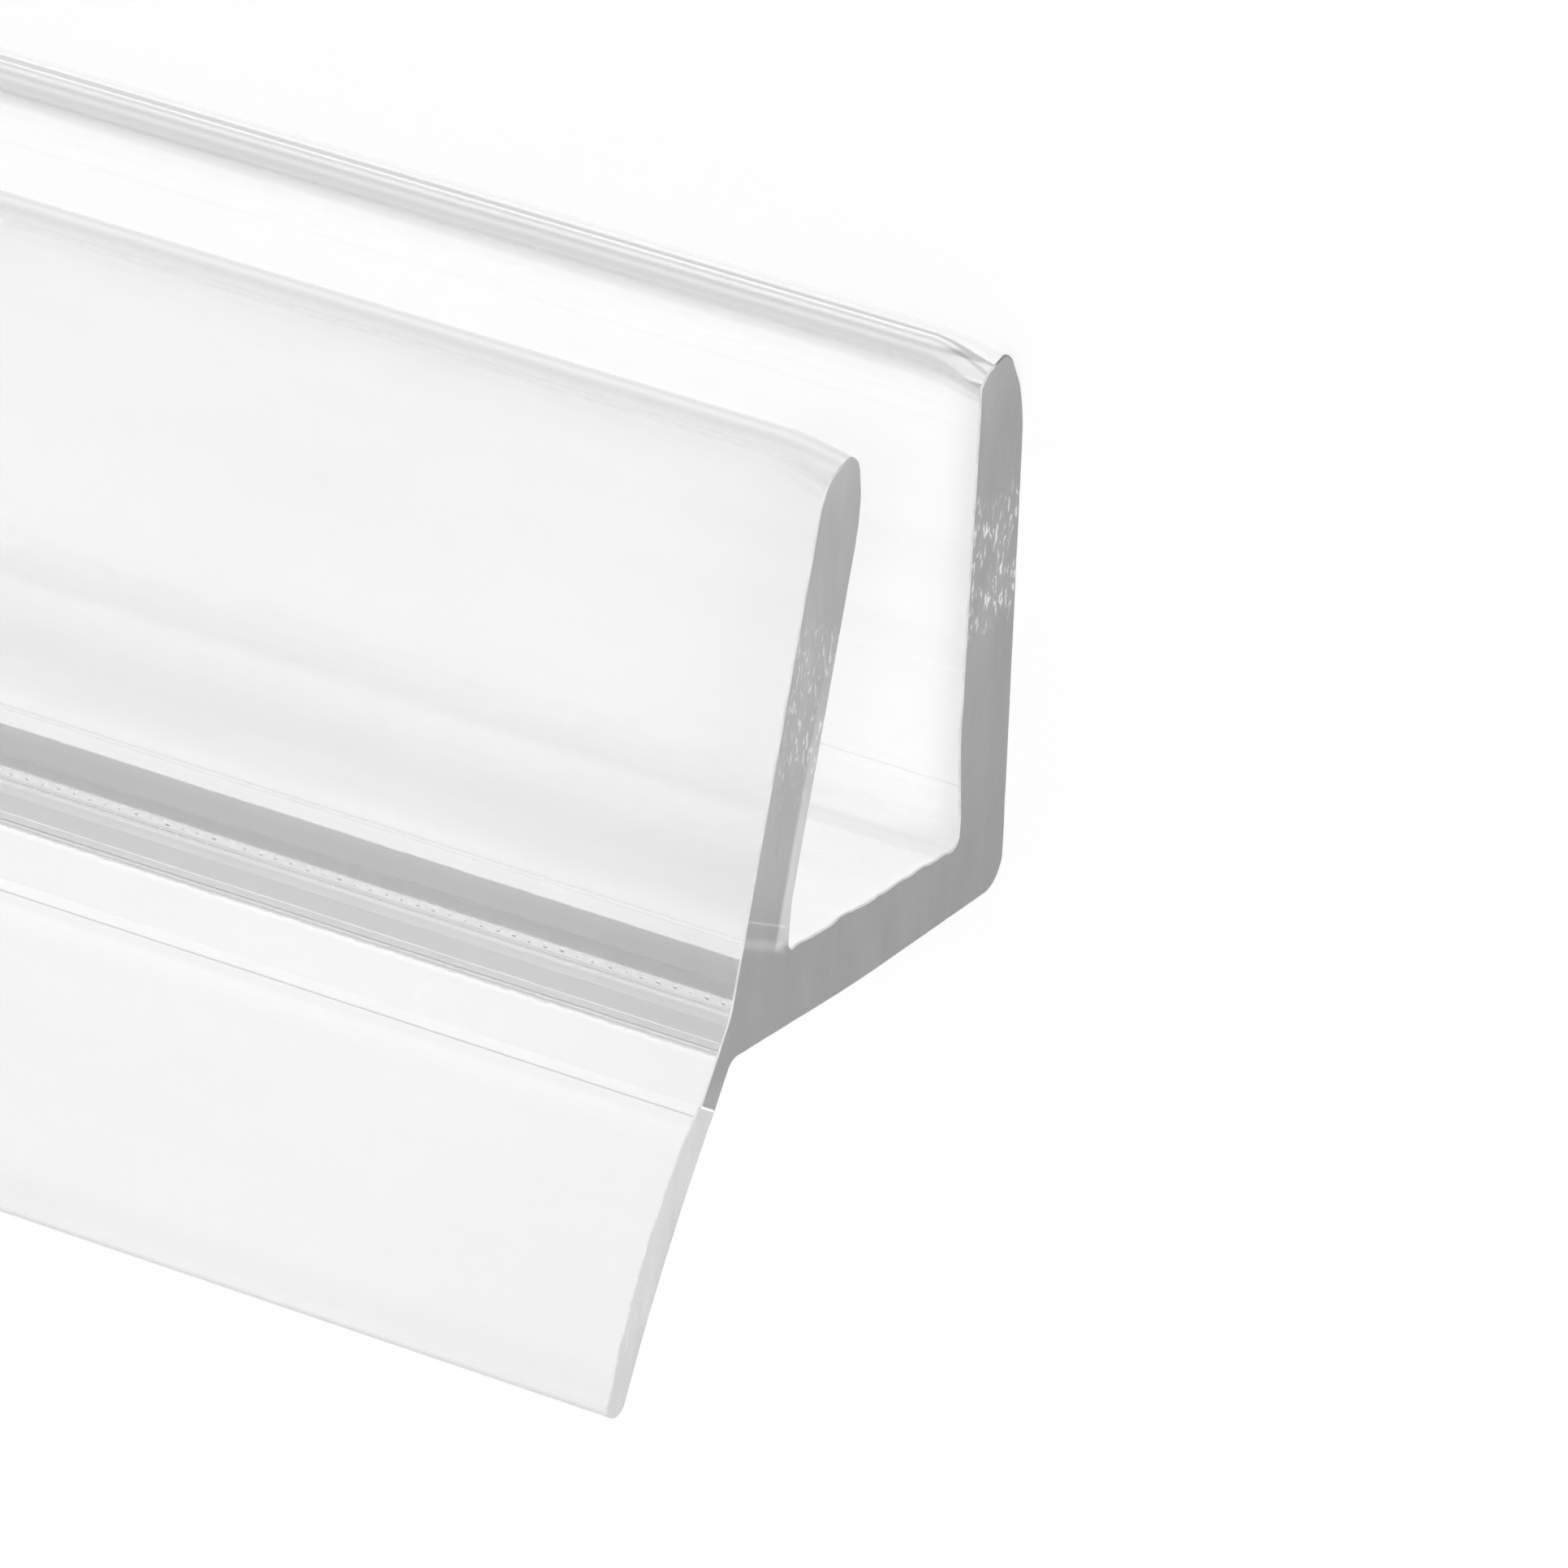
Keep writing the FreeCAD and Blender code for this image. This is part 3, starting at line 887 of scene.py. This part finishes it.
def studio_world():
    """Soft light all round, a white backdrop, and a ceiling a little darker overhead for gloss and glass."""
    world = bpy.data.worlds.new("studio")
    bpy.context.scene.world = world
    world.use_nodes = True
    tree = world.node_tree
    tree.nodes.clear()
    direct, mirrored = background_rays(tree)
    direction = tree.nodes.new("ShaderNodeTexCoord")
    up = tree.nodes.new("ShaderNodeSeparateXYZ")
    tree.links.new(direction.outputs["Generated"], up.inputs[0])
    ceiling = smooth_step(tree, up.outputs[2], 0.1, 0.95, 1.0, CEILING_TONE)
    inner = tree.nodes.new("ShaderNodeMixShader")
    outer = tree.nodes.new("ShaderNodeMixShader")
    out = tree.nodes.new("ShaderNodeOutputWorld")
    tree.links.new(mirrored, inner.inputs[0])
    tree.links.new(plain_light(tree, SOFT_LIGHT), inner.inputs[1])
    tree.links.new(plain_light(tree, ceiling), inner.inputs[2])
    tree.links.new(direct, outer.inputs[0])
    tree.links.new(inner.outputs[0], outer.inputs[1])
    tree.links.new(plain_light(tree, 1.0), outer.inputs[2])
    tree.links.new(outer.outputs[0], out.inputs[0])


def key_lamp():
    """Wide soft lamp that gives the strip its faint shadow."""
    data = bpy.data.lights.new("key", "SUN")
    data.energy = KEY_STRENGTH
    data.angle = math.radians(KEY_SPREAD)
    data.cycles.use_multiple_importance_sampling = False
    lamp = bpy.data.objects.new("key", data)
    bpy.context.scene.collection.objects.link(lamp)
    lamp.location = KEY_PLACE
    lamp.rotation_mode = "QUATERNION"
    lamp.rotation_quaternion = (-Vector(KEY_PLACE)).to_track_quat("-Z", "Y")


def photo_camera():
    """Camera that looks along its aim, rolled about it as the photo's was."""
    data = bpy.data.cameras.new("camera")
    data.sensor_width = SENSOR_WIDTH
    data.lens = CAMERA_LENS
    data.clip_start = 0.01
    camera = bpy.data.objects.new("camera", data)
    bpy.context.scene.collection.objects.link(camera)
    forward = Vector(CAMERA_AIM - CAMERA_PLACE).normalized()
    level_pose = forward.to_track_quat("-Z", "Y").to_matrix().to_4x4()
    roll = Matrix.Rotation(math.radians(-CAMERA_ROLL), 4, "Z")
    camera.matrix_world = Matrix.Translation(Vector(CAMERA_PLACE * MM)) @ level_pose @ roll
    return camera


floor = staged_floor()
studio_world()
key_lamp()
scene = bpy.context.scene
scene.camera = photo_camera()
scene.view_settings.view_transform = "Standard"
scene.cycles.max_bounces = 16
scene.cycles.transmission_bounces = 16
scene.cycles.glossy_bounces = 12
scene.cycles.transparent_max_bounces = 24
